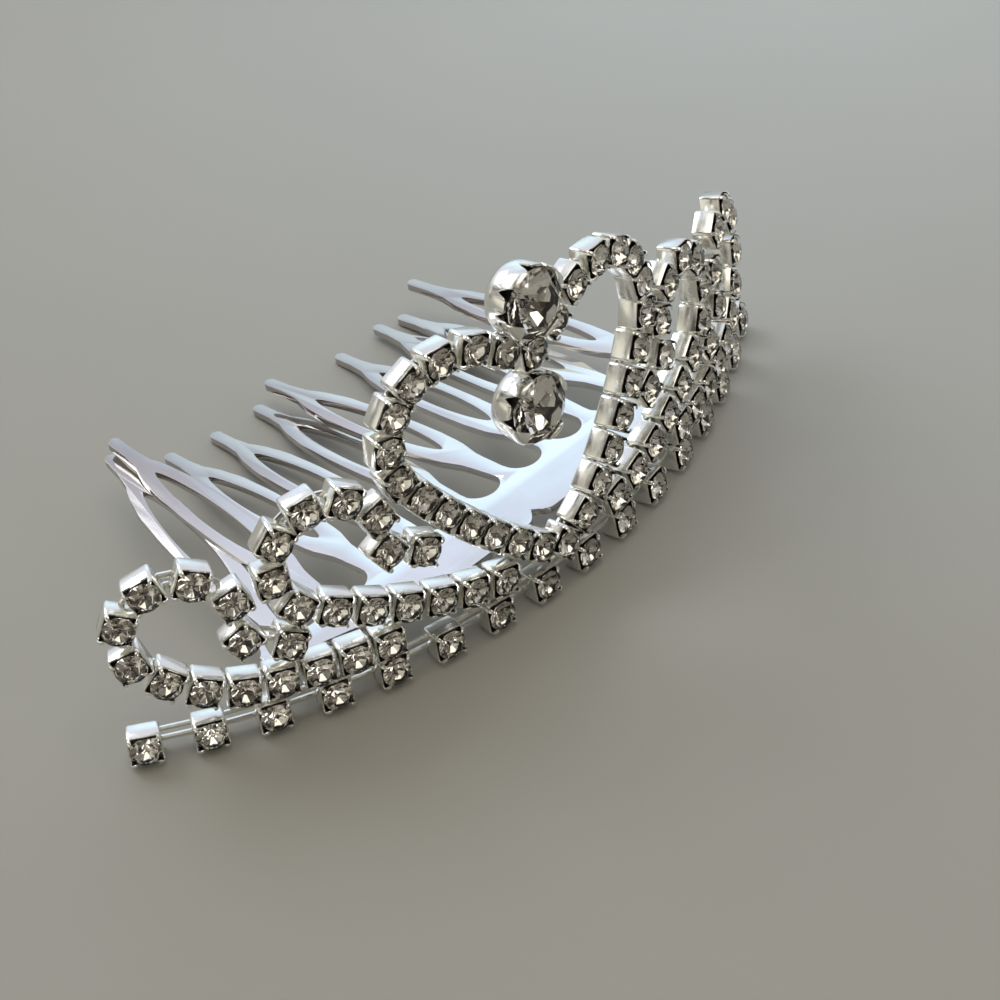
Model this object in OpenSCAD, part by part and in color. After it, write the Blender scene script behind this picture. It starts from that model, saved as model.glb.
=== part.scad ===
/* [Tiara band] */

// radius of the upright band that the stone faces follow, at the base row
band_r = 72.4; // [60:0.2:90]
// lean of the band towards the back
lean = 9.5; // [0:0.5:20]
// spacing of the stones along a cup chain
chain_pitch = 3.5; // [3.2:0.1:4.5]

/* [Small cups] */

// side of a square cup
cup_w = 2.9; // [2.7:0.05:3]
// depth of the cup behind the girdle of its stone
cup_depth = 2.3; // [2:0.1:3]
// thickness of the cup walls
cup_wall = 0.16; // [0.12:0.02:0.3]
// width of the four prongs folded over the stone
prong_w = 0.4; // [0.3:0.02:0.6]

/* [Small stones] */

// diameter of a small stone
stone_d = 2.7; // [2.2:0.1:2.8]
// share of the stone diameter taken by the table
table_share = 0.56; // [0.4:0.02:0.7]

/* [Base row] */

// number of stones in the base row
base_stones_n = 16; // [8:2:20]
// angle between neighbouring stones of the base row
base_step = 4.42; // [3:0.02:6]
// how far the base row stands behind the band
base_inset = 0.4; // [0:0.1:1]

/* [Large settings] */

// diameter of a large stone
large_d = 6.0; // [5:0.1:6.2]
// share of its diameter taken by the table
large_table_share = 0.6; // [0.4:0.02:0.7]
// depth of a large cup behind the girdle of its stone
large_cup_depth = 3.4; // [3.1:0.1:4.5]
// width of a claw where it leaves the rim of a large cup
claw_w = 2.2; // [1:0.1:3]

/* [Comb] */

// number of teeth
tooth_n = 10; // [6:1:14]
// distance between neighbouring teeth
tooth_pitch = 5.56; // [4.5:0.02:7]
// length of a tooth from the root row to its tip
tooth_l = 30.8; // [24:0.2:40]
// thickness of the sheet
sheet_t = 0.7; // [0.5:0.05:1.2]
// height of the sheet above the table at the root row
root_rise = 5.4; // [3:0.1:8]
// distance of the root row behind the front of the band
root_back = 10.2; // [6:0.1:14]
// depth of the plate in front of the root row
plate_front = 6.4; // [4:0.1:9]
// width of the round gap between two teeth at their roots
gap_w = 4.1; // [3:0.1:4.4]
// width of a pointed notch in the front of the plate
notch_w = 3.0; // [1:0.1:5]
// height of a notch
notch_h = 1.35; // [0.5:0.05:2.5]

/* [Hidden] */

// distance from the front of the band back to the middle of the whole tiara
origin_back = 20.35;
// point on the table below the axis of the band, behind the front
axis_y = band_r - origin_back;

// height of the band where the cups of the base row stand on the table
base_h = cup_w / 2 * cos(lean) + (cup_depth + base_inset) * sin(lean);
// rim of a small cup below the girdle of its stone, and the cup's floor
rim_drop = 0.33;
floor_t = 0.3;
// twin bars between two cups: width, thickness, gap, and reach into the cups
bar_w = 0.5;
bar_t = 0.45;
bar_gap = 0.45;
bar_reach = 0.9;
// prongs of the small cups: distance from the middle, thickness, fold and folded length
prong_reach = cup_w * 0.62;
prong_t = 0.18;
prong_fold = 62;
prong_tip = 0.45;
// foot of every prong inside the cup wall, and height where it folds
prong_foot = 0.3;
prong_bend = 0.02;
// large cups: outside diameter, rim below the girdle, wall, floor, corner at the back, turn of the claws
large_cup_d = large_d + 0.5;
large_rim_drop = 0.35;
large_wall = 0.28;
large_floor_t = 0.4;
large_corner = 1.2;
large_turn = 24;
// claws of the large cups: thickness, gap to the stone, distance from the middle, fold, folded length
// and width of the tip
claw_t = 0.25;
claw_gap = 0.14;
claw_reach = large_d / 2 + claw_gap + claw_t / 2;
claw_fold = 48;
claw_fold_l = 1.0;
claw_tip_w = 0.5;
// drops of solder between the large cups and the chain: diameter, height
solder_d = 1.5;
solder_h = 1.4;
// cut of every stone, as shares of its diameter: height of the table, depth of the back
crown_share = 0.15;
back_share = 0.44;
// lets a pocket break through the rim
over = 0.01;

// path tables, start as [along, up] in chain pitches, then the heading
// columns of the rows: cups, turn before each cup, spacing in chain pitches
heart_start = [0, 0.86];
heart_heading = 169;
heart_rows = [
    [2, -14,  0.90],
    [5, -3.5, 0.88],
    [4, -27,  0.86],
    [2, -23,  0.99],
    [1,   3,  0.97]
];
inner_start = [-2.10, 0.96];
inner_heading = 171;
inner_rows = [
    [6,  -3, 0.96],
    [6, -40, 1.00],
    [1,  62, 1.02]
];
outer_start = [-5.54, 0.89];
outer_heading = 180;
outer_rows = [
    [4,  -1, 0.93],
    [3, -14, 0.93],
    [5, -45, 1.09],
    [1,  65, 1.16]
];

// large settings: along, up and forward of the band, in mm
upper_large = [-0.93, 28.65, 1.9];
lower_large = [-1.2, 18.2, 0.6];
// drops of solder: along, up and forward of their backs
upper_solder = [-2.35, 25.7, -1.9];
lower_solder = [-1.1, 21.3, -1.9];

// tooth outline: distance from the root row, half width
tooth_rows = [
    [-1.0, 0.90],
    [ 1.6, 0.78],
    [ 4.0, 0.95],
    [ 8.2, 1.80],
    [10.0, 2.00],
    [13.0, 2.10],
    [17.0, 2.12],
    [21.0, 1.98],
    [23.4, 1.62],
    [24.2, 1.45],
    [26.0, 0.82],
    [28.0, 0.60]
];
// radius of a tooth's rounded tip
tip_r = 0.6;
// slot of a tooth: where it starts and ends, its widest half, and points along one side
slot_from = 8.2;
slot_to = 24.2;
slot_half_w = 1.15;
slot_points = 16;
// how far the middles of the round gaps stand behind the root row
gap_back = gap_w / 2 - 0.4;
// how far the curved front of the plate would reach before the straight one
plate_bulge = 0.6;
// round bite at the outer ends of the plate
end_bite = 0.9;
// fall of the sheet from the root row to the tooth tips
sheet_slope = asin((root_rise - sheet_t) / tooth_l);

// bend of each tooth from the left: turn to the right, lift, both in degrees
tooth_bends = [
    [ 9,   9],
    [ 0,  11.5],
    [ 0,   1.5],
    [ 0,   0],
    [ 0,   0],
    [-7,   4],
    [ 0,   0],
    [ 0,   1],
    [-4.2, 0],
    [-12,  7]
];

// step list of a path table
function steps(rows) = [for (row = rows) for (k = [1:row[0]]) [row[1], row[2]]];
// points of a path, each one turned and stepped on from the one before
function walk(point, heading, list, k = 0) =
    k == len(list) ? [point] :
    let (h = heading + list[k][0],
         next = point + chain_pitch * list[k][1] * [cos(h), sin(h)])
    concat([point], walk(next, h, list, k + 1));
function path(start, heading, rows) = walk(chain_pitch * start, heading, steps(rows));
// direction of the chain at a point
function along(points, k) =
    let (a = points[max(k - 1, 0)], b = points[min(k + 1, len(points) - 1)])
    atan2(b[1] - a[1], b[0] - a[0]);
// cups of a path: along, up, turn
function cups(points) = [for (k = [0:len(points) - 1]) [points[k][0], points[k][1], along(points, k)]];
// bars of a path: along, up, turn, free length between two cups
function bars(points) = [for (k = [0:len(points) - 2])
    let (a = points[k], b = points[k + 1])
    [(a[0] + b[0]) / 2, (a[1] + b[1]) / 2, atan2(b[1] - a[1], b[0] - a[0]), norm(b - a) - cup_w]];
function mirrored(list) = [for (e = list) [-e[0], e[1], 180 - e[2], e[3]]];

// radius of the band at a height along its slope
function band_at(up) = band_r - up * sin(lean);

heart_path = path(heart_start, heart_heading, heart_rows);
inner_path = path(inner_start, inner_heading, inner_rows);
outer_path = path(outer_start, outer_heading, outer_rows);
// the heart's cups: one at its foot, one in its dip, and both sides
heart_end = len(heart_path) - 1;
heart_side = [for (k = [1:heart_end - 1]) cups(heart_path)[k]];
heart_cups = concat([[0, heart_path[0][1], 45], [0, heart_path[heart_end][1], 0]],
    heart_side, mirrored(heart_side));
heart_bars = concat(bars(heart_path), mirrored(bars(heart_path)));
base_pitch = (band_r - base_inset) * base_step * PI / 180;
base_path = [for (k = [0:base_stones_n - 1]) [(k - (base_stones_n - 1) / 2) * base_pitch, 0]];

// places its children on the band, with z pointing out of the stone's face
module on_band(along, up, turn = 0, out = 0) {
    translate([0, axis_y, 0])
        rotate([0, 0, along / band_at(up) * 180 / PI])
            translate([0, -band_at(up), base_h + up * cos(lean)])
                rotate([90 - lean, 0, 0])
                    translate([0, 0, out])
                        rotate([0, 0, turn])
                            children();
}

module block(size, at) {
    translate([at[0] - size[0] / 2, at[1] - size[1] / 2, at[2]])
        cube(size);
}

// strip of metal that stands on a cup's rim and folds over the stone's edge, seen from its side
module folded_strip(reach, w, t, rim, fold_l, fold) {
    root = [reach - t / 2, -rim - prong_foot];
    bend = [reach - t / 2, prong_bend];
    end = bend + fold_l * [-sin(fold), cos(fold)];
    profile = [root, bend, end, end + t * [cos(fold), sin(fold)],
        bend + [t, t * tan(fold / 2)], root + [t, 0]];
    translate([0, w / 2, 0])
        rotate([90, 0, 0])
            linear_extrude(height = w)
                polygon(profile);
}

// flat prongs at the four corners of a small cup
module prongs() {
    for (a = [45:90:315])
        rotate([0, 0, a])
            folded_strip(prong_reach, prong_w, prong_t, rim_drop, prong_tip, prong_fold);
}

// four claws of a large cup, each tapering from the rim to its tip
module claws() {
    inner = claw_reach - claw_t / 2 - claw_fold_l * sin(claw_fold);
    outer = claw_reach + claw_t;
    for (a = [0:90:270])
        rotate([0, 0, large_turn + a])
            intersection() {
                folded_strip(claw_reach, claw_w, claw_t, large_rim_drop, claw_fold_l, claw_fold);
                translate([0, 0, -large_cup_depth])
                    linear_extrude(height = 2 * large_cup_depth)
                        polygon([[inner, claw_tip_w / 2], [outer, claw_w / 2],
                            [outer, -claw_w / 2], [inner, -claw_tip_w / 2]]);
            }
}

module cup_body() {
    block([cup_w, cup_w, cup_depth - rim_drop], [0, 0, -cup_depth]);
    prongs();
}

module cup_pocket() {
    inside = cup_w - 2 * cup_wall;
    block([inside, inside, cup_depth - rim_drop - floor_t + over], [0, 0, floor_t - cup_depth]);
}

module twin_bars(free) {
    for (side = [-1, 1])
        block([free + 2 * bar_reach, bar_w, bar_t],
            [0, side * (bar_w + bar_gap) / 2, -cup_depth]);
}

module chain_metal(cup_list, bar_list, inset = 0) {
    difference() {
        union() {
            for (c = cup_list) on_band(c[0], c[1], c[2], -inset) cup_body();
            for (b = bar_list) on_band(b[0], b[1], b[2], -inset) twin_bars(b[3]);
        }
        for (c = cup_list) on_band(c[0], c[1], c[2], -inset) cup_pocket();
    }
}

// cut stone with a table, eight stars, eight kites and a pointed back
module cut_stone(d, share) {
    girdle = [for (k = [0:15]) [d / 2 * cos(k * 22.5), d / 2 * sin(k * 22.5), 0]];
    top = [for (k = [0:7]) [d * share / 2 * cos(k * 45), d * share / 2 * sin(k * 45), d * crown_share]];
    polyhedron(
        points = concat(girdle, top, [[0, 0, -d * back_share]]),
        faces = concat(
            [[for (k = [7:-1:0]) 16 + k]],
            [for (k = [0:7]) [16 + k, 16 + (k + 1) % 8, 2 * k + 1]],
            [for (k = [0:7]) [16 + k, 2 * k + 1, 2 * k]],
            [for (k = [0:7]) [16 + k, 2 * k, (2 * k + 15) % 16]],
            [for (k = [0:15]) [k, (k + 1) % 16, 24]]));
}

module chain_stones(cup_list, inset = 0) {
    for (c = cup_list) on_band(c[0], c[1], c[2], -inset) cut_stone(stone_d, table_share);
}

// round bowl with a rounded corner at its back
module bowl(r, back, rim, corner) {
    arc = [for (a = [-90:15:0]) [r - corner + corner * cos(a), back + corner + corner * sin(a)]];
    rotate_extrude($fn = 48)
        polygon(concat([[0, back]], arc, [[r, rim], [0, rim]]));
}

module large_cup_body() {
    bowl(large_cup_d / 2, -large_cup_depth, -large_rim_drop, large_corner);
    claws();
}

module large_cup_pocket() {
    bowl(large_cup_d / 2 - large_wall, large_floor_t - large_cup_depth,
        over - large_rim_drop, large_corner - large_wall);
}

module solder() {
    cylinder(h = solder_h, d = solder_d, $fn = 24);
}

module at_place(place) {
    on_band(place[0], place[1], 0, place[2]) children();
}

// outline of a tooth on one side, eased between the rows of its table
function ease(t) = (1 - cos(180 * t)) / 2;
function row_after(y, k = 1) =
    k >= len(tooth_rows) - 1 || tooth_rows[k][0] >= y ? k : row_after(y, k + 1);
function tooth_half(y) =
    let (k = row_after(y), a = tooth_rows[k - 1], b = tooth_rows[k])
    a[1] + (b[1] - a[1]) * ease((y - a[0]) / (b[0] - a[0]));
tooth_ys = [for (y = [-1:1:28]) y];
slot_ys = [for (k = [0:slot_points]) slot_from + (slot_to - slot_from) * ease(k / slot_points)];
// half width of the slot, blunt at the root end and longer towards the tip
function slot_half(y) =
    slot_half_w * pow(sin(180 * pow((y - slot_from) / (slot_to - slot_from), 0.9)), 0.62);
function bend_of(k) = k < len(tooth_bends) ? tooth_bends[k] : [0, 0];

module tooth_shape() {
    difference() {
        union() {
            polygon(concat(
                [for (y = tooth_ys) [tooth_half(y), y]],
                [[tip_r, tooth_l - tip_r], [-tip_r, tooth_l - tip_r]],
                [for (k = [len(tooth_ys) - 1:-1:0]) [-tooth_half(tooth_ys[k]), tooth_ys[k]]]));
            translate([0, tooth_l - tip_r]) circle(r = tip_r, $fn = 24);
        }
        polygon(concat(
            [for (y = slot_ys) [slot_half(y), y]],
            [for (k = [slot_points - 1:-1:1]) [-slot_half(slot_ys[k]), slot_ys[k]]]));
    }
}

// pointed notch with hollow flanks
module notch_shape() {
    flanks = [for (k = [-8:8])
        [k / 16 * notch_w, notch_h * pow(1 - abs(k) / 8, 1.6) + over]];
    polygon(concat(flanks, [[notch_w / 2, -1], [-notch_w / 2, -1]]));
}

// plate in front of the root row, with a straight front and small pointed notches
module plate_shape() {
    half_w = tooth_n * tooth_pitch / 2;
    arc_back = (band_r - root_back) / cos(sheet_slope);
    difference() {
        intersection() {
            translate([-half_w, -plate_front]) square([2 * half_w, plate_front + gap_back]);
            translate([0, arc_back]) circle(r = arc_back + plate_front + plate_bulge, $fn = 180);
        }
        for (k = [1 - tooth_n / 2:tooth_n / 2 - 1])
            translate([k * tooth_pitch, gap_back]) circle(d = gap_w, $fn = 36);
        for (k = [-2:2])
            translate([2 * k * tooth_pitch, -plate_front]) notch_shape();
        for (side = [-1, 1])
            translate([side * (half_w + gap_w / 2 - end_bite), gap_back]) circle(d = gap_w, $fn = 36);
    }
}

// places its children in the sheet, y running down to the tips
module on_sheet() {
    translate([0, root_back - origin_back, root_rise])
        rotate([-sheet_slope, 0, 0])
            translate([0, 0, -sheet_t])
                children();
}

module comb() {
    color("lightsteelblue") on_sheet() {
        linear_extrude(height = sheet_t) plate_shape();
        for (k = [0:tooth_n - 1])
            translate([(k - (tooth_n - 1) / 2) * tooth_pitch, 0, 0])
                rotate([bend_of(k)[1], 0, -bend_of(k)[0]])
                    linear_extrude(height = sheet_t) tooth_shape();
    }
}

module base_chain() {
    color("silver") chain_metal(cups(base_path), bars(base_path), base_inset);
}

module heart_chain() {
    color("gainsboro") difference() {
        union() {
            chain_metal(heart_cups, heart_bars);
            at_place(upper_large) large_cup_body();
            at_place(lower_large) large_cup_body();
            at_place(upper_solder) solder();
            at_place(lower_solder) solder();
        }
        at_place(upper_large) large_cup_pocket();
        at_place(lower_large) large_cup_pocket();
        for (c = heart_cups) on_band(c[0], c[1], c[2]) cup_pocket();
    }
}

module left_inner_scroll() {
    color("thistle") chain_metal(cups(inner_path), bars(inner_path));
}

module right_inner_scroll() {
    color("thistle") mirror([1, 0, 0]) chain_metal(cups(inner_path), bars(inner_path));
}

module left_outer_scroll() {
    color("wheat") chain_metal(cups(outer_path), bars(outer_path));
}

module right_outer_scroll() {
    color("wheat") mirror([1, 0, 0]) chain_metal(cups(outer_path), bars(outer_path));
}

module base_stones() {
    color("aliceblue") chain_stones(cups(base_path), base_inset);
}

module heart_stones() {
    color("white") chain_stones(heart_cups);
}

module left_inner_stones() {
    color("lavender") chain_stones(cups(inner_path));
}

module right_inner_stones() {
    color("lavender") mirror([1, 0, 0]) chain_stones(cups(inner_path));
}

module left_outer_stones() {
    color("ivory") chain_stones(cups(outer_path));
}

module right_outer_stones() {
    color("ivory") mirror([1, 0, 0]) chain_stones(cups(outer_path));
}

module upper_large_stone() {
    color("white") at_place(upper_large) cut_stone(large_d, large_table_share);
}

module lower_large_stone() {
    color("white") at_place(lower_large) cut_stone(large_d, large_table_share);
}

comb();
base_chain();
heart_chain();
left_inner_scroll();
right_inner_scroll();
left_outer_scroll();
right_outer_scroll();
base_stones();
heart_stones();
left_inner_stones();
right_inner_stones();
left_outer_stones();
right_outer_stones();
upper_large_stone();
lower_large_stone();
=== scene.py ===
"""A clip-in tiara of soldered cup chains on a ten-tooth comb, lying on a pale table.

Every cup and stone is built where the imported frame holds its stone.
"""

import math

import bmesh
import bpy
from mathutils import Matrix, Vector


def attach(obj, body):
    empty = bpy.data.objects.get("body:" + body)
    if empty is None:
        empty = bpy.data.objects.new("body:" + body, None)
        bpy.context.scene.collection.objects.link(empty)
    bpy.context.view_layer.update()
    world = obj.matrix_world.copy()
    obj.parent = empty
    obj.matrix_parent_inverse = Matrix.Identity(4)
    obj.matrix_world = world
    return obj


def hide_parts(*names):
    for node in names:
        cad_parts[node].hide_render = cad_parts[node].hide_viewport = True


MM = 0.001

# Chains with their stones, and the stones whose cups belong to the heart chain
CHAINS = {
    "base_chain": "base_stones",
    "heart_chain": "heart_stones",
    "left_inner_scroll": "left_inner_stones",
    "right_inner_scroll": "right_inner_stones",
    "left_outer_scroll": "left_outer_stones",
    "right_outer_scroll": "right_outer_stones",
}
LARGE_STONES = ("upper_large_stone", "lower_large_stone")

# Small cups, in mm. The rim lies behind the girdle of the stone
CUP_W = 2.9
CUP_DEPTH = 2.3
CUP_WALL = 0.16
CUP_FLOOR = 0.3
RIM_DROP = 0.33
# Radius of a cup's upright edges, and steps along it
CUP_ROUND = 0.34
CUP_ROUND_STEPS = 4
# Rounding of a cup's back and its middle corner, and of its rim outside, inside and down the wall
BACK_ROUND = 0.20
BACK_STEP = 0.06
RIM_OUT = 0.03
RIM_IN = 0.02
RIM_DOWN = 0.04
# Prong of a small cup along its diagonal: distance from the middle, height, half width, half thickness
PRONG = (
    (1.74, -1.10, 0.10, 0.05),
    (1.77, -0.75, 0.18, 0.08),
    (1.79, -0.30, 0.19, 0.09),
    (1.77, -0.05, 0.18, 0.09),
    (1.68, 0.10, 0.17, 0.085),
    (1.52, 0.20, 0.15, 0.075),
    (1.37, 0.25, 0.11, 0.06),
    (1.30, 0.27, 0.05, 0.035),
)

# Twin bars between two cups, in mm: size, gap, reach under a cup, cut edges,
# and distance in front of the cups' backs
BAR_W = 0.5
BAR_T = 0.42
BAR_GAP = 0.45
BAR_REACH = 0.9
BAR_EDGE = 0.06
BAR_INSET = 0.03

# Large cups: outline turned round the middle as distance and height, in mm
LARGE_PROFILE = (
    (1.5, -3.40), (2.15, -3.34), (2.62, -3.16), (2.97, -2.84), (3.17, -2.42), (3.25, -1.95),
    (3.25, -0.42), (3.21, -0.35), (3.01, -0.35), (2.97, -0.42), (2.97, -2.1), (2.4, -2.9),
)
LARGE_SIDES = 120
# First row of the outline, and of a small cup, that lies inside the cup
LARGE_INSIDE = 9
SMALL_INSIDE = 5
# Notches of the rim on both sides of a claw: angle from the claw, half of the angle they open,
# depth in mm, and the height above which the outline is cut down
NOTCH_AT = 27
NOTCH_OPEN = 7.5
NOTCH_DEPTH = 1.0
NOTCH_ABOVE = -1
# Claw of a large cup, in the same columns as a prong. It is bent round the cup
CLAW = (
    (3.20, -1.50, 0.90, 0.05),
    (3.24, -1.10, 1.20, 0.10),
    (3.28, -0.50, 1.15, 0.12),
    (3.28, -0.12, 1.05, 0.125),
    (3.20, 0.16, 0.92, 0.12),
    (3.02, 0.38, 0.74, 0.115),
    (2.78, 0.55, 0.52, 0.10),
    (2.54, 0.69, 0.30, 0.08),
    (2.42, 0.75, 0.12, 0.05),
)
# Angle of the first claw, in degrees
CLAW_TURN = 24
# Drop of solder between a large cup and the chain, in mm: radius, and distance behind the girdles
SOLDER_R = 1.0
SOLDER_BACK = 2.2

# How far an eight-sided ring is blown up before it is clipped to a square with cut corners
SQUARE_CUT = 1.3

# Cut of the stones, as shares of the girdle radius
TABLE_R = {"small": 0.56, "large": 0.60}
TABLE_Z = 0.30
BACK_Z = -0.88
GIRDLE_Z = -0.03

# Distances, in mm, within which the corners of a CAD mesh are joined
STONE_MERGE = 0.005
COMB_MERGE = 0.002
# Comb: angle in degrees under which faces are joined, angle over which an edge is rounded,
# and width of the rounding in mm with its steps
COMB_FLAT_DEG = 0.5
COMB_EDGE_DEG = 50
COMB_ROUND = 0.16
COMB_ROUND_STEPS = 3
# Angles, in degrees, over which an edge stays sharp
CHAIN_SHARP_DEG = 40
COMB_SHARP_DEG = 35

# Teeth: where along y, in mm, the painted shade on their plate starts and stops deepening,
# with tones from the start to the stop
TEETH_FROM = -10.0
TEETH_TO = 20.0
TEETH_SHADE_TONES = (
    (0.0, (1.0, 1.0, 1.0)),
    (0.35, (0.91, 0.89, 0.88)),
    (0.65, (0.71, 0.67, 0.65)),
    (1.0, (0.56, 0.52, 0.49)),
)

# Noise levels between which a finish turns from its first tone to its second
PATCH_STEP = (0.38, 0.62)
MARK_STEP = (0.35, 0.70)
HAZE_STEP = (0.40, 0.75)
FOIL_STEP = (0.35, 0.65)
GRAIN_STEP = (0.3, 0.7)
# Scales of the noise in the glass, the foil and the table, and how much finer scratches are than patches
HAZE_SCALE = 900.0
FOIL_SCALE = 700.0
GRAIN_SCALE = 14.0
MARKS_FINER = 6
# Depth of the scratches in mm, greatest roughness of the glass, and how far the table's tone varies
MARK_DEPTH = 0.02
HAZE_ROUGH = 0.05
GRAIN_TONES = (0.97, 1.03)
GLASS_IOR = 1.56
FOIL_ROUGH = 0.05
TABLE_ROUGH = 0.55
# Sockets of the colours on a Mix node
MIX_A = 6
MIX_B = 7
MIX_RESULT = 2

# Camera, in mm and degrees
CAMERA_AT = (-91.17, -104.92, 122.61)
CAMERA_TURN = (47.97, 2.195, -46.217)
CAMERA_LENS = 69.76
CAMERA_SENSOR = 36
CAMERA_CLIP = 10

# Room: the way to the window, walls by how far they face it, and patches that darken or brighten the walls
WINDOW_WAY = (0.60, 0.74, 0.30)
WALLS = (
    (0.0, (0.21, 0.195, 0.175)),
    (0.45, (0.36, 0.35, 0.33)),
    (0.75, (0.60, 0.62, 0.66)),
    (0.92, (0.58, 0.60, 0.69)),
    (0.965, (0.62, 0.74, 0.86)),
    (1.0, (0.76, 0.92, 1.0)),
)
ROOM_PATCHES = (
    (0.40, (0.06, 0.05, 0.045)),
    (0.45, (0.45, 0.42, 0.39)),
    (0.53, (1.0, 1.0, 1.0)),
    (0.60, (2.6, 2.6, 2.5)),
)
# How strong the patches are, by how far a wall faces the window
PATCH_SHARE = ((0.45, 1.0), (0.75, 0.0))
# Cream wall on the left
CREAM_WAY = (-0.92, 0.25, 0.02)
CREAM_WALL = (
    (0.78, 0.0),
    (0.88, (0.62, 0.60, 0.52)),
    (1.0, (0.74, 0.72, 0.63)),
)
ROOM_STRENGTH = 1.25
ROOM_SCALE = 4.2
# What shows above the table's far edge
BACKDROP = (0.33, 0.33, 0.31)
# Soft lights: way from the tiara, distance and size in m, brightness, colour
PANELS = {
    "window": ((-0.15, 0.72, 0.62), 0.9, (0.5, 0.4), 3.0, (0.95, 0.98, 1.0)),
    "lamp": ((0.06, -0.13, 0.98), 0.9, (0.62, 0.52), 1.6, (1.0, 0.94, 0.81)),
    "far_window": ((-0.80, -0.22, 0.36), 1.2, (0.16, 0.16), 3.0, (1.0, 0.97, 0.90)),
    "front_window": ((0.25, -0.92, 0.30), 1.2, (0.30, 0.30), 3.5, (1.0, 0.98, 0.94)),
}

# Table: half of its width in m, where its pool of light lies and how far it reaches in mm,
# with tones from the pool outwards
TABLE_REACH = 8.0
POOL_AT = (112.0, 39.0)
POOL_REACH = 200.0
POOL_TONES = (
    (0.0, (0.55, 0.59, 0.59)),
    (0.35, (0.46, 0.475, 0.465)),
    (0.7, (0.395, 0.388, 0.352)),
    (1.0, (0.37, 0.36, 0.32)),
)


class Seat:
    """Where a stone sits: the middle of its girdle, the way it faces, its table's corners and its size."""

    def __init__(self, centre, out, spokes, radius):
        self.centre = centre
        self.out = out
        self.spokes = spokes
        self.radius = radius
        self.matrix = None

    def turn_to(self, way):
        """Lays the x axis along the table corner nearest to a direction."""
        x = max(self.spokes, key=lambda s: s.dot(way))
        y = self.out.cross(x)
        rows = Matrix((x, y, self.out)).transposed().to_4x4()
        self.matrix = Matrix.Translation(self.centre) @ rows @ Matrix.Scale(MM, 4)


def islands(bm):
    """Groups of joined vertices."""
    seen = set()
    for first in bm.verts:
        if first in seen:
            continue
        group, front = [], [first]
        seen.add(first)
        while front:
            vert = front.pop()
            group.append(vert)
            for edge in vert.link_edges:
                other = edge.other_vert(vert)
                if other not in seen:
                    seen.add(other)
                    front.append(other)
        yield group


def seats(node):
    """The seats of all stones of a CAD node, read from its loose solids."""
    bm = bmesh.new()
    bm.from_mesh(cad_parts[node].data)
    bmesh.ops.remove_doubles(bm, verts=bm.verts, dist=STONE_MERGE * MM)
    found = []
    for group in islands(bm):
        back = max(group, key=lambda v: len(v.link_edges))
        girdle = [e.other_vert(back) for e in back.link_edges]
        centre = sum((v.co for v in girdle), Vector()) / len(girdle)
        out = (centre - back.co).normalized()
        top = [v.co - centre for v in group if v is not back and v not in girdle]
        spokes = [(p - out * p.dot(out)).normalized() for p in top]
        found.append(Seat(centre, out, spokes, (girdle[0].co - centre).length))
    bm.free()
    return found


def large_seat(node):
    """The seat of a large stone, with its x axis nearly level."""
    seat = seats(node)[0]
    seat.turn_to(Vector((1, 0, 0)))
    return seat


def in_order(loose, first):
    """Seats as they follow each other along a chain."""
    line, rest = [first], [s for s in loose if s is not first]
    while rest:
        after = min(rest, key=lambda s: (s.centre - line[-1].centre).length)
        rest.remove(after)
        line.append(after)
    return line


def turn_along(line):
    """Turns each seat of a line to the way from the seat before to the seat after."""
    for k, seat in enumerate(line):
        before, after = line[max(k - 1, 0)], line[min(k + 1, len(line) - 1)]
        seat.turn_to((after.centre - before.centre).normalized())


def chain_lines(node):
    """The lines of seats that make up the chain of a node."""
    loose = seats(CHAINS[node])
    if node == "base_chain":
        lines = [sorted(loose, key=lambda s: s.centre.x)]
    elif node == "heart_chain":
        foot = min(loose, key=lambda s: s.centre.z)
        dip = min((s for s in loose if s is not foot), key=lambda s: abs(s.centre.x))
        lines = []
        for right in (False, True):
            side = [s for s in loose if s not in (foot, dip) and (s.centre.x > 0) == right]
            lines.append(in_order(side + [foot], foot) + [dip])
    else:
        lines = [in_order(loose, min(loose, key=lambda s: abs(s.centre.x)))]
    for line in lines:
        turn_along(line)
    if node == "heart_chain":
        foot.turn_to(Vector((1, 0, 1)).normalized())
        dip.turn_to(Vector((1, 0, 0)))
    return lines


def add_object(name, data):
    """A new object in the scene."""
    obj = bpy.data.objects.new(name, data)
    bpy.context.scene.collection.objects.link(obj)
    return obj


def add_piece(name, mesh, node):
    """A mesh in the scene as a piece that stands for a CAD node."""
    obj = add_object(name, mesh)
    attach(obj, "root")
    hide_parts(node)


class Shape:
    """Corners and faces that are gathered into one mesh."""

    def __init__(self):
        self.verts, self.faces, self.slots = [], [], []

    def add(self, verts, faces, matrix, slot=0):
        """Adds a shape, with one material slot or a list of a slot for each face."""
        start = len(self.verts)
        self.verts += [matrix @ Vector(v) for v in verts]
        self.faces += [[start + i for i in face] for face in faces]
        self.slots += slot if isinstance(slot, list) else [slot] * len(faces)

    def mesh(self, name, materials, sharp_deg=None):
        """The gathered mesh, smooth up to an angle or flat on every face."""
        mesh = bpy.data.meshes.new(name)
        mesh.from_pydata(self.verts, [], self.faces)
        for material in materials:
            mesh.materials.append(material)
        mesh.polygons.foreach_set("material_index", self.slots)
        if sharp_deg is not None:
            mesh.shade_smooth()
            mesh.set_sharp_from_angle(angle=math.radians(sharp_deg))
        mesh.update()
        return mesh


def loft(rings):
    """A closed skin over rings of equal length, with a face over both ends."""
    n = len(rings[0])
    verts = [v for ring in rings for v in ring]
    faces = [
        (a * n + i, a * n + (i + 1) % n, (a + 1) * n + (i + 1) % n, (a + 1) * n + i)
        for a in range(len(rings) - 1) for i in range(n)
    ]
    faces.append(tuple(reversed(range(n))))
    faces.append(tuple(range((len(rings) - 1) * n, len(rings) * n)))
    return verts, faces


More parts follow.
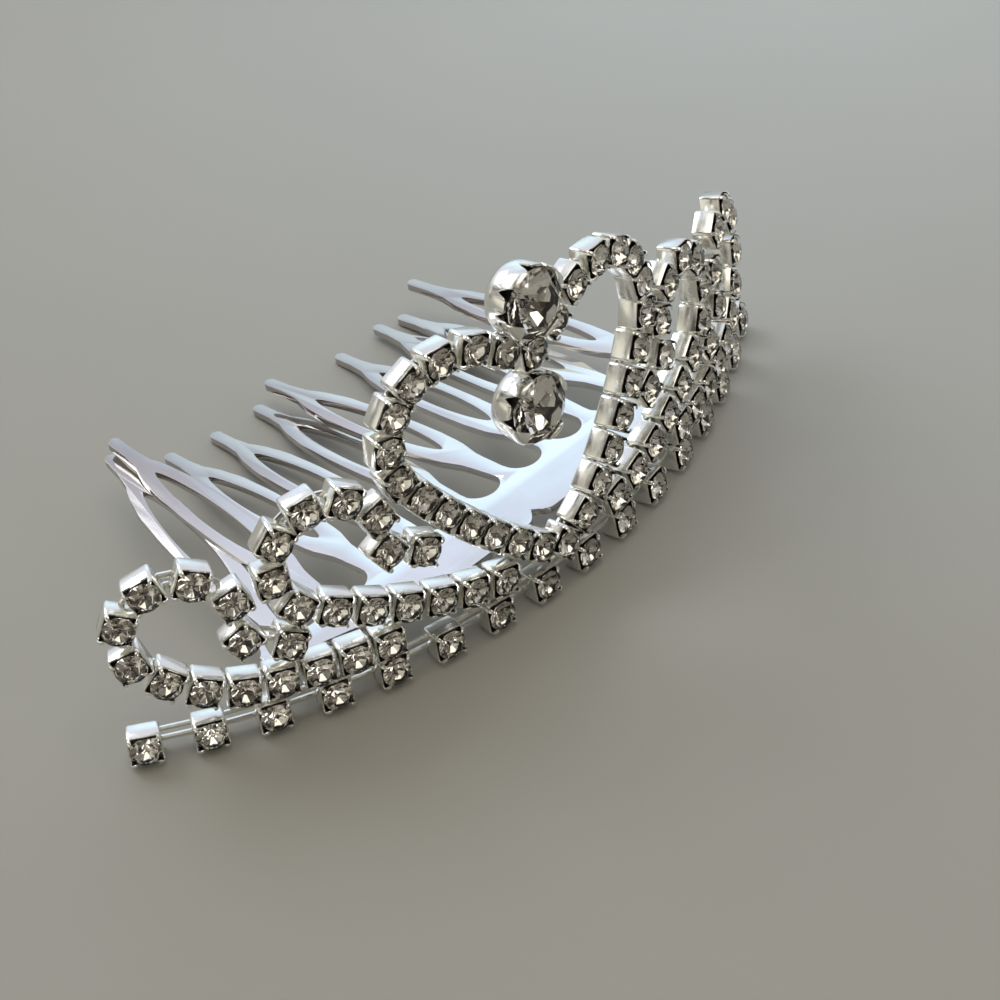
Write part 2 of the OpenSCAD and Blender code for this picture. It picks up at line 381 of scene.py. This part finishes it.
def inside_slots(rings, first):
    """A slot for each face of a loft: 1 from a first ring on, 0 before it."""
    sides = len(rings[0])
    return [int(k >= first) for k in range(len(rings) - 1) for _ in range(sides)] + [0, 1]


def rounded_square(half, radius, z):
    """Ring of a square with round corners."""
    ring = []
    for corner in range(4):
        middle = math.radians(45 + 90 * corner)
        cx = math.copysign(half - radius, math.cos(middle))
        cy = math.copysign(half - radius, math.sin(middle))
        for k in range(CUP_ROUND_STEPS + 1):
            a = math.radians(90 * corner + 90 * k / CUP_ROUND_STEPS)
            ring.append((cx + radius * math.cos(a), cy + radius * math.sin(a), z))
    return ring


def cut_square():
    """Eight corners of a square of half width 1 with cut corners."""
    turns = [math.radians(45 * side + 22.5) for side in range(8)]
    blown = [(SQUARE_CUT * math.cos(turn), SQUARE_CUT * math.sin(turn)) for turn in turns]
    return [(max(-1, min(1, x)), max(-1, min(1, y))) for x, y in blown]


def small_cup():
    """Square pressed cup with rounded edges, open at the front."""
    half, inner = CUP_W / 2, CUP_W / 2 - CUP_WALL
    back, rim = -CUP_DEPTH, -RIM_DROP
    rows = (
        (half - BACK_ROUND, back),
        (half - BACK_STEP, back + BACK_STEP),
        (half, back + BACK_ROUND),
        (half, rim - RIM_DOWN),
        (half - RIM_OUT, rim),
        (inner + RIM_IN, rim),
        (inner, rim - RIM_DOWN),
        (inner, back + CUP_FLOOR),
    )
    rings = [rounded_square(w, CUP_ROUND - (half - w), z) for w, z in rows]
    return *loft(rings), inside_slots(rings, SMALL_INSIDE)


def finger(rows, angle, bent=False):
    """Prong that follows rows of distance, height, half width and half thickness, flat or bent round z."""
    rings = []
    for k, (r, z, w, t) in enumerate(rows):
        a, b = rows[max(k - 1, 0)], rows[min(k + 1, len(rows) - 1)]
        run = Vector((b[0] - a[0], b[1] - a[1])).normalized()
        ring = []
        for x, y in cut_square():
            across, over = w * x, t * y
            reach = r + run.y * over
            if bent:
                reach = math.sqrt(reach * reach - across * across)
            ring.append((reach, across, z - run.x * over))
        rings.append(ring)
    verts, faces = loft(rings)
    turn = Matrix.Rotation(math.radians(angle), 3, "Z")
    return [turn @ Vector(v) for v in verts], faces


def notch(angle):
    """How far the rim of a large cup is cut down at an angle in degrees."""
    off = abs((angle - CLAW_TURN + 45) % 90 - 45)
    return NOTCH_DEPTH * max(0, 1 - abs(off - NOTCH_AT) / NOTCH_OPEN)


def large_cup():
    """Round bowl whose rim is notched on both sides of every claw."""
    rings = []
    for r, z in LARGE_PROFILE:
        ring = []
        for k in range(LARGE_SIDES):
            angle = 360 * k / LARGE_SIDES
            a = math.radians(angle)
            low = z - notch(angle) if z > NOTCH_ABOVE else z
            ring.append((r * math.cos(a), r * math.sin(a), low))
        rings.append(ring)
    return *loft(rings), inside_slots(rings, LARGE_INSIDE)


def drop():
    """Round drop of solder."""
    turns = [math.radians(22.5 * k) for k in range(16)]
    rings = []
    for latitude in range(-75, 90, 15):
        up = math.radians(latitude)
        r = SOLDER_R * math.cos(up)
        rings.append([(r * math.cos(a), r * math.sin(a), SOLDER_R * math.sin(up)) for a in turns])
    return loft(rings)


def bar(length):
    """Bar along the x axis with cut edges."""
    end = length / 2
    rings = []
    for x, inset in ((-end, BAR_EDGE), (-end + BAR_EDGE, 0), (end - BAR_EDGE, 0), (end, BAR_EDGE)):
        rings.append([(x, (BAR_W / 2 - inset) * y, (BAR_T / 2 - inset) * z) for y, z in cut_square()])
    return loft(rings)


def twin_bars(shape, a, b):
    """Twin bars behind the gap from one seat to the next."""
    way = b.centre - a.centre
    out = (a.out + b.out).normalized()
    x = (way - out * way.dot(out)).normalized()
    y = out.cross(x)
    length = way.length / MM - CUP_W + 2 * BAR_REACH
    middle = (a.centre + b.centre) / 2
    back = CUP_DEPTH - BAR_T / 2 - BAR_INSET
    for side in (-1, 1):
        at = middle + MM * (y * side * (BAR_W + BAR_GAP) / 2 - out * back)
        rows = Matrix((x, y, out)).transposed().to_4x4()
        shape.add(*bar(length), matrix=Matrix.Translation(at) @ rows @ Matrix.Scale(MM, 4))


def cut_stone(table_r):
    """Eight-sided cut of radius 1, with a slot for each face: 0 the clear front, 1 the foiled back."""

    def spoke(r, step, z):
        a = math.radians(22.5 * step)
        return (r * math.cos(a), r * math.sin(a), z)

    dip = (GIRDLE_Z, GIRDLE_Z + BACK_Z * (1 - math.cos(math.radians(22.5))))
    verts = [spoke(table_r, 2 * k, TABLE_Z) for k in range(8)]
    verts += [spoke(1, k, 0) for k in range(16)]
    verts += [spoke(1, k, dip[k % 2]) for k in range(16)]
    verts.append((0, 0, BACK_Z))
    # First corners of the table, of the girdle's upper and lower edge, and of the back
    table, edge, under, tip = 0, 8, 24, 40
    faces = [tuple(range(8))]
    for k in range(8):
        faces.append((table + k, edge + 2 * k + 1, table + (k + 1) % 8))
        faces.append((table + k, edge + (2 * k + 15) % 16, edge + 2 * k))
        faces.append((table + k, edge + 2 * k, edge + 2 * k + 1))
    faces += [(edge + k, under + k, under + (k + 1) % 16, edge + (k + 1) % 16) for k in range(16)]
    front = len(faces)
    faces += [(tip, under + 2 * k + 1, under + 2 * k, under + (2 * k + 15) % 16) for k in range(8)]
    return verts, faces, [0] * front + [1] * (len(faces) - front)


def principled(name, base, rough, metal=0.0):
    """A new material and its shader."""
    material = bpy.data.materials.new(name)
    material.use_nodes = True
    shader = material.node_tree.nodes["Principled BSDF"]
    shader.inputs["Base Color"].default_value = (*base, 1)
    shader.inputs["Roughness"].default_value = rough
    shader.inputs["Metallic"].default_value = metal
    return material, shader


def add_node(owner, kind, links=None, **values):
    """Adds a node to a material or the world, sets its named inputs and fields, and links its inputs."""
    tree = owner.node_tree
    node = tree.nodes.new(kind)
    for name, value in values.items():
        if hasattr(node, name):
            setattr(node, name, value)
        else:
            node.inputs[name.replace("_", " ")].default_value = value
    for name, source in (links or {}).items():
        tree.links.new(source, node.inputs[name])
    return node


def object_place(material):
    """Coordinates in the frame of the object."""
    return add_node(material, "ShaderNodeTexCoord").outputs["Object"]


def noise(owner, place, scale, detail):
    """Level of a noise from 0 to 1."""
    node = add_node(owner, "ShaderNodeTexNoise", {"Vector": place}, Scale=scale, Detail=detail)
    return node.outputs["Fac"]


def ramp(owner, source, stops):
    """Colour by a value, with stops of position and grey or colour."""
    node = add_node(owner, "ShaderNodeValToRGB", {"Fac": source})
    points = node.color_ramp.elements
    while len(points) < len(stops):
        points.new(0.5)
    for point, (at, colour) in zip(points, stops):
        point.position = at
        point.color = (*colour, 1) if isinstance(colour, tuple) else (colour, colour, colour, 1)
    return node.outputs["Color"]


def turning(material, source, step, first, second):
    """Colour that turns from a first tone to a second between two levels of a value."""
    return ramp(material, source, ((step[0], first), (step[1], second)))


def blended(owner, kind, a, b, share=None):
    """Two colours blended, or the first one alone where the share is 0."""
    node = add_node(owner, "ShaderNodeMix", data_type="RGBA", blend_type=kind)
    node.inputs["Factor"].default_value = 1.0
    links = owner.node_tree.links
    links.new(a, node.inputs[MIX_A])
    links.new(b, node.inputs[MIX_B])
    if share:
        links.new(share, node.inputs["Factor"])
    return node.outputs[MIX_RESULT]


def plated_metal(name, bright, dull, rough, scale, stretch=(1, 1, 1), dents=0.15):
    """Silver plate, or the painted shade inside the cups, with dull patches, fine scratches and small
    dents.
    """
    material, shader = principled(name, bright, rough[0], 1.0)
    place = object_place(material)
    laid = add_node(material, "ShaderNodeMapping", {"Vector": place}, Scale=stretch).outputs["Vector"]
    patches = noise(material, place, scale, 4.0)
    marks = noise(material, laid, scale * MARKS_FINER, 3.0)
    tint = turning(material, patches, PATCH_STEP, dull, bright)
    gloss = turning(material, marks, MARK_STEP, *rough)
    depth = {"Strength": dents, "Distance": MARK_DEPTH * MM}
    bump = add_node(material, "ShaderNodeBump", {"Height": marks}, **depth)
    links = material.node_tree.links
    links.new(tint, shader.inputs["Base Color"])
    links.new(gloss, shader.inputs["Roughness"])
    links.new(bump.outputs["Normal"], shader.inputs["Normal"])
    return material


def shade_towards_tips(material):
    """Paints shade on the comb's plate, deeper along its teeth."""
    shader = material.node_tree.nodes["Principled BSDF"]
    plate = shader.inputs["Base Color"].links[0].from_socket
    place = object_place(material)
    y = add_node(material, "ShaderNodeSeparateXYZ", {"Vector": place}).outputs["Y"]
    ends = {"From_Min": TEETH_FROM * MM, "From_Max": TEETH_TO * MM}
    along = add_node(material, "ShaderNodeMapRange", {"Value": y}, **ends)
    tones = ramp(material, along.outputs["Result"], TEETH_SHADE_TONES)
    tint = blended(material, "MULTIPLY", plate, tones)
    material.node_tree.links.new(tint, shader.inputs["Base Color"])


def cut_glass(name, tint):
    """Clear glass with the faintest grey and a little haze."""
    material, shader = principled(name, tint, 0.0)
    shader.inputs["Transmission Weight"].default_value = 1.0
    shader.inputs["IOR"].default_value = GLASS_IOR
    haze = noise(material, object_place(material), HAZE_SCALE, 2.0)
    film = turning(material, haze, HAZE_STEP, 0.0, HAZE_ROUGH)
    material.node_tree.links.new(film, shader.inputs["Roughness"])
    return material


def foil(name, bright, dull):
    """Silver foil behind a stone."""
    material, shader = principled(name, bright, FOIL_ROUGH, 1.0)
    patches = noise(material, object_place(material), FOIL_SCALE, 2.0)
    tint = turning(material, patches, FOIL_STEP, dull, bright)
    material.node_tree.links.new(tint, shader.inputs["Base Color"])
    return material


def add_large_cup(shape, seat, placed):
    """Large cup with its claws, and a drop of solder towards the nearest small cup."""
    bowl, bowl_faces, bowl_slots = large_cup()
    shape.add(bowl, bowl_faces, matrix=seat.matrix, slot=bowl_slots)
    for k in range(4):
        shape.add(*finger(CLAW, CLAW_TURN + 90 * k, bent=True), matrix=seat.matrix)
    near = min(placed, key=lambda s: (s.centre - seat.centre).length)
    at = (seat.centre + near.centre) / 2 - seat.out * SOLDER_BACK * MM
    shape.add(*drop(), matrix=Matrix.Translation(at) @ Matrix.Scale(MM, 4))


def build_chain(node, metals):
    """Cups, prongs and bars of one chain, in one piece. Returns the seats of its stones."""
    shape = Shape()
    cup, cup_faces, cup_slots = small_cup()
    prongs = [finger(PRONG, 45 + 90 * k) for k in range(4)]
    placed = []
    for line in chain_lines(node):
        for seat in line:
            if seat in placed:
                continue
            placed.append(seat)
            shape.add(cup, cup_faces, matrix=seat.matrix, slot=cup_slots)
            for prong in prongs:
                shape.add(*prong, matrix=seat.matrix)
        for a, b in zip(line, line[1:]):
            twin_bars(shape, a, b)
    if node == "heart_chain":
        for stone in LARGE_STONES:
            add_large_cup(shape, large_seat(stone), placed)
    name = node + "_cups"
    add_piece(name, shape.mesh(name, metals, CHAIN_SHARP_DEG), node)
    return placed


def build_stones(node, placed, cut, materials):
    """Cut stones of one node, in one piece."""
    shape = Shape()
    verts, faces, slots = cut_stone(TABLE_R[cut])
    for seat in placed:
        size = Matrix.Scale(seat.radius / MM, 4)
        shape.add(verts, faces, matrix=seat.matrix @ size, slot=slots)
    name = node + "_cut"
    add_piece(name, shape.mesh(name, materials), node)


def build_comb(metal):
    """The stamped comb with its edges rounded over."""
    bm = bmesh.new()
    bm.from_mesh(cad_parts["comb"].data)
    bmesh.ops.remove_doubles(bm, verts=bm.verts, dist=COMB_MERGE * MM)
    flat = math.radians(COMB_FLAT_DEG)
    bmesh.ops.dissolve_limit(bm, angle_limit=flat, verts=bm.verts, edges=bm.edges)
    edged = math.radians(COMB_EDGE_DEG)
    rims = [e for e in bm.edges if len(e.link_faces) == 2 and e.calc_face_angle(0) > edged]
    bmesh.ops.bevel(
        bm, geom=rims, offset=COMB_ROUND * MM, segments=COMB_ROUND_STEPS, profile=0.5,
        affect="EDGES", clamp_overlap=True,
    )
    mesh = bpy.data.meshes.new("comb_sheet")
    bm.to_mesh(mesh)
    bm.free()
    mesh.materials.clear()
    mesh.materials.append(metal)
    mesh.polygons.foreach_set("material_index", [0] * len(mesh.polygons))
    mesh.shade_smooth()
    mesh.set_sharp_from_angle(angle=math.radians(COMB_SHARP_DEG))
    add_piece("comb_sheet", mesh, "comb")


def build_table():
    """Pale table top with a soft pool of light."""
    material, shader = principled("table_top", (0.44, 0.43, 0.40), TABLE_ROUGH)
    links = material.node_tree.links
    place = object_place(material)
    away = add_node(material, "ShaderNodeVectorMath", operation="DISTANCE")
    away.inputs[1].default_value = (POOL_AT[0] * MM, POOL_AT[1] * MM, 0)
    links.new(place, away.inputs[0])
    share = add_node(material, "ShaderNodeMath", operation="DIVIDE")
    share.inputs[1].default_value = POOL_REACH * MM
    links.new(away.outputs["Value"], share.inputs[0])
    pool = ramp(material, share.outputs["Value"], POOL_TONES)
    clouds = noise(material, place, GRAIN_SCALE, 5.0)
    grain = turning(material, clouds, GRAIN_STEP, *GRAIN_TONES)
    links.new(blended(material, "MULTIPLY", pool, grain), shader.inputs["Base Color"])
    mesh = bpy.data.meshes.new("table_top")
    corners = [(x * TABLE_REACH, y * TABLE_REACH, 0) for x, y in ((-1, -1), (1, -1), (1, 1), (-1, 1))]
    mesh.from_pydata(corners, [], [(0, 1, 2, 3)])
    mesh.materials.append(material)
    obj = add_object("table_top", mesh)


def add_panel(name, way, distance, size, radiance, colour):
    """Soft rectangular light that faces the tiara from a direction."""
    data = bpy.data.lights.new(name, "AREA")
    data.shape = "RECTANGLE"
    data.size, data.size_y = size
    data.energy = radiance * math.pi * size[0] * size[1]
    data.color = colour
    at = Vector(way).normalized() * distance
    obj = add_object(name, data)
    obj.location = at
    obj.rotation_euler = (-at).to_track_quat("-Z", "Y").to_euler()


def facing(world, place, way):
    """How far a place of the room lies in a direction, from -1 to 1."""
    node = add_node(world, "ShaderNodeVectorMath", operation="DOT_PRODUCT")
    node.inputs[1].default_value = Vector(way).normalized()
    world.node_tree.links.new(place, node.inputs[0])
    return node.outputs["Value"]


def build_room():
    """A pale window wall behind the comb, a cream wall, and a dim room with dark and light patches.

    The camera itself sees a plain backdrop instead of the room.
    """
    world = bpy.data.worlds.new("room")
    bpy.context.scene.world = world
    world.use_nodes = True
    links = world.node_tree.links
    place = add_node(world, "ShaderNodeTexCoord").outputs["Generated"]
    to_window = facing(world, place, WINDOW_WAY)
    to_cream = facing(world, place, CREAM_WAY)
    walls = ramp(world, to_window, WALLS)
    cream = ramp(world, to_cream, CREAM_WALL)
    patches = ramp(world, noise(world, place, ROOM_SCALE, 1.0), ROOM_PATCHES)
    room = blended(world, "MULTIPLY", walls, patches, ramp(world, to_window, PATCH_SHARE))
    room = blended(world, "LIGHTEN", room, cream)
    back = world.node_tree.nodes["Background"]
    back.inputs["Strength"].default_value = ROOM_STRENGTH
    links.new(room, back.inputs["Color"])
    plain = add_node(world, "ShaderNodeBackground", Color=(*BACKDROP, 1))
    seen = add_node(world, "ShaderNodeLightPath").outputs["Is Camera Ray"]
    shown = add_node(world, "ShaderNodeMixShader", {"Fac": seen})
    links.new(back.outputs["Background"], shown.inputs[1])
    links.new(plain.outputs["Background"], shown.inputs[2])
    links.new(shown.outputs["Shader"], world.node_tree.nodes["World Output"].inputs["Surface"])


def build_camera():
    """The camera at the photo's viewing angle."""
    data = bpy.data.cameras.new("camera")
    data.lens = CAMERA_LENS
    data.sensor_width = CAMERA_SENSOR
    data.clip_start = CAMERA_CLIP * MM
    obj = add_object("camera", data)
    obj.location = Vector(CAMERA_AT) * MM
    obj.rotation_euler = [math.radians(a) for a in CAMERA_TURN]
    bpy.context.scene.camera = obj


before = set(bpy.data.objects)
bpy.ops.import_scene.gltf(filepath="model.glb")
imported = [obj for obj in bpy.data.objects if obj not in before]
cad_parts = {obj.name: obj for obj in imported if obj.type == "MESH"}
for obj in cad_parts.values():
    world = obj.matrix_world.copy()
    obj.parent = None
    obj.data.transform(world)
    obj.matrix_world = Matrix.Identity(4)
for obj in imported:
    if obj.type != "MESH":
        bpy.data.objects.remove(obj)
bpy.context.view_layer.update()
bpy.context.scene.view_settings.view_transform = "Standard"

chain_metal = plated_metal(
    "chain_plate", bright=(0.93, 0.93, 0.90), dull=(0.86, 0.85, 0.80), rough=(0.18, 0.26), scale=350.0,
    dents=0.06,
)
# Painted shade: a dark plated tone on the inside faces of every cup stands in for the shade within the
# cups
painted_shade_inside = plated_metal(
    "painted_shade_inside", bright=(0.20, 0.185, 0.17), dull=(0.10, 0.09, 0.08), rough=(0.35, 0.6), scale=350.0,
)
comb_metal = plated_metal(
    "comb_plate", bright=(0.92, 0.93, 0.95), dull=(0.84, 0.84, 0.85), rough=(0.10, 0.22), scale=120.0,
    stretch=(1, 0.15, 1),
)
# Painted shade: the comb's teeth are darkened towards their tips
shade_towards_tips(comb_metal)
small_glass = cut_glass("clear_glass", tint=(0.97, 0.965, 0.945))
small_foil = foil("foil_back", bright=(0.92, 0.91, 0.88), dull=(0.68, 0.66, 0.62))
large_glass = cut_glass("large_clear_glass", tint=(0.99, 0.985, 0.97))
large_foil = foil("large_foil_back", bright=(0.97, 0.965, 0.95), dull=(0.86, 0.85, 0.82))

# Each chain's second material, on its cups' insides, is painted shade
for chain, stones in CHAINS.items():
    placed = build_chain(chain, [chain_metal, painted_shade_inside])
    build_stones(stones, placed, "small", [small_glass, small_foil])
for stone in LARGE_STONES:
    build_stones(stone, [large_seat(stone)], "large", [large_glass, large_foil])
build_comb(comb_metal)
build_table()
build_room()
for name, panel in PANELS.items():
    add_panel(name, *panel)
build_camera()
